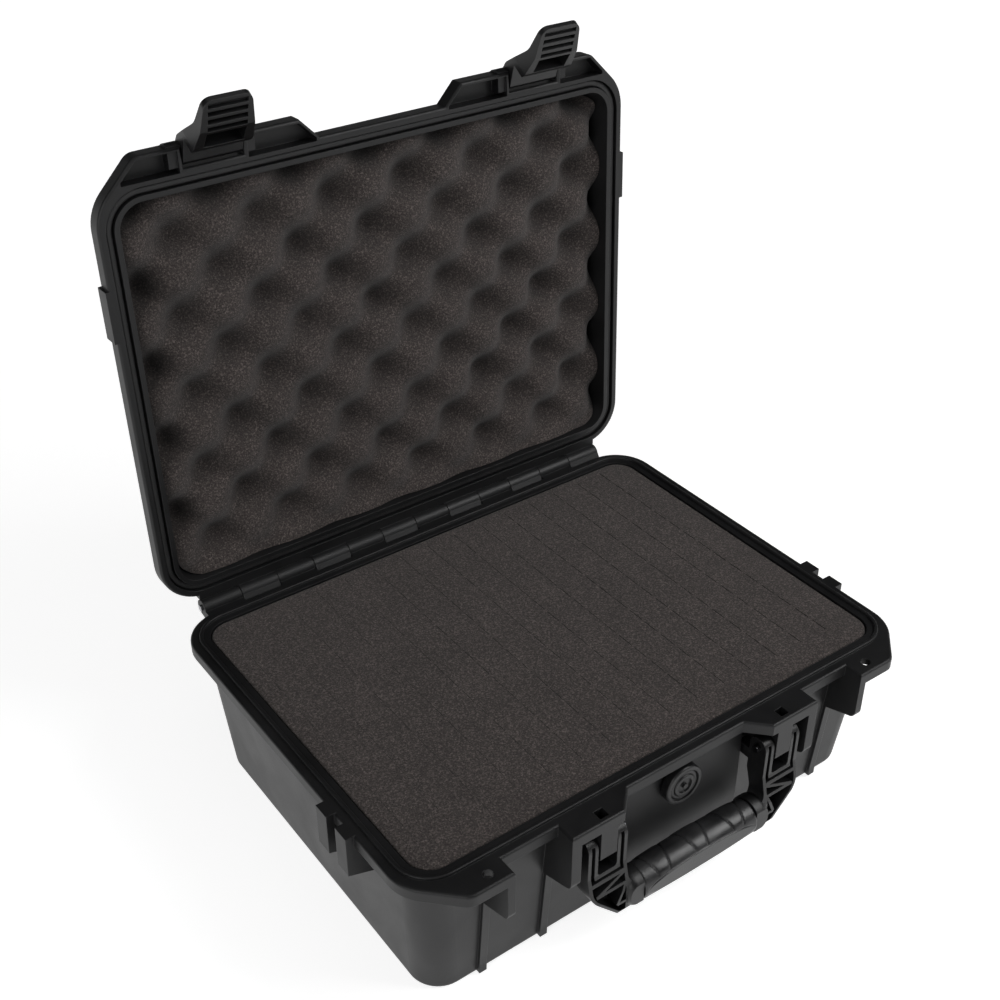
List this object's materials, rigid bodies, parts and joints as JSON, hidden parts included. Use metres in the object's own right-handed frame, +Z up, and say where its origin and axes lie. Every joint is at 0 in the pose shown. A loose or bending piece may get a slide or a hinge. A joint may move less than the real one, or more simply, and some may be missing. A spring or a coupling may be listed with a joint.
{
  "type": "hard carrying case",
  "caption": "Foam-lined hard case standing open, with a hinged lid on a long pin, draw latches, a folding forked handle with a soft grip, a pressure valve and a gasket.",
  "frame": {"origin": "middle of the flat underside, where the case stands", "axes": "+Z up, +X to the right of someone facing the latch side, -Y towards that person"},
  "size_m": [0.3404, 0.3279, 0.3909],
  "materials": {
    "base_shell": "fine moulded texture",
    "lid_shell": "fine moulded texture",
    "latch_left": "fine moulded texture",
    "latch_right": "fine moulded texture",
    "handle_frame": "fine moulded texture",
    "valve_body": "fine moulded texture",
    "valve_knob": "fine moulded texture",
    "valve_nut": "fine moulded texture",
    "handle_grip": "matt",
    "lid_gasket": "matt",
    "valve_seal": "matt",
    "hinge_pin": "drawn",
    "latch_pin_left": "drawn",
    "latch_pin_right": "drawn",
    "handle_pin_left": "drawn",
    "handle_pin_right": "drawn",
    "base_foam": "open-cell charcoal foam",
    "base_foam_pad": "open-cell charcoal foam",
    "lid_foam": "open-cell charcoal foam",
    "valve_vent_disc": "woven membrane"
  },
  "bodies": {
    "base": {"base_shell": "base_shell", "hinge_pin": "hinge_pin", "base_foam": "base_foam", "base_foam_pad": "base_foam_pad", "valve_body": "valve_body", "valve_seal": "valve_seal", "valve_nut": "valve_nut", "valve_vent_disc": "valve_vent_disc", "handle_pin_left": "handle_pin_left", "handle_pin_right": "handle_pin_right"},
    "lid": {"lid_shell": "lid_shell", "lid_gasket": "lid_gasket", "lid_foam": "lid_foam", "latch_pin_left": "latch_pin_left", "latch_pin_right": "latch_pin_right"},
    "left_latch": {"latch_left": "latch_left"},
    "right_latch": {"latch_right": "latch_right"},
    "handle": {"handle_frame": "handle_frame", "handle_grip": "handle_grip"},
    "knob": {"valve_knob": "valve_knob"}
  },
  "joints": [
    {"name": "lid_hinge", "type": "hinge", "parent": "base", "child": "lid", "pos_m": [0, 0.1309, 0.096], "axis": [-1, 0, 0], "range_deg": [-92.4, 0]},
    {"name": "left_latch_pivot", "type": "hinge", "parent": "lid", "child": "left_latch", "pos_m": [-0.09995, 0.14712, 0.35635], "axis": [-1, 0, 0], "range_deg": [-53, 90]},
    {"name": "right_latch_pivot", "type": "hinge", "parent": "lid", "child": "right_latch", "pos_m": [0.09995, 0.14712, 0.35635], "axis": [-1, 0, 0], "range_deg": [-53, 90]},
    {"name": "handle_swing", "type": "hinge", "parent": "base", "child": "handle", "pos_m": [0, -0.1285, 0.0775], "axis": [-1, 0, 0], "range_deg": [0, 100]},
    {"name": "valve_turn", "type": "hinge", "parent": "base", "child": "knob", "pos_m": [0, -0.122, 0.074], "axis": [0, -1, 0], "range_deg": [0, 180]}
  ]
}
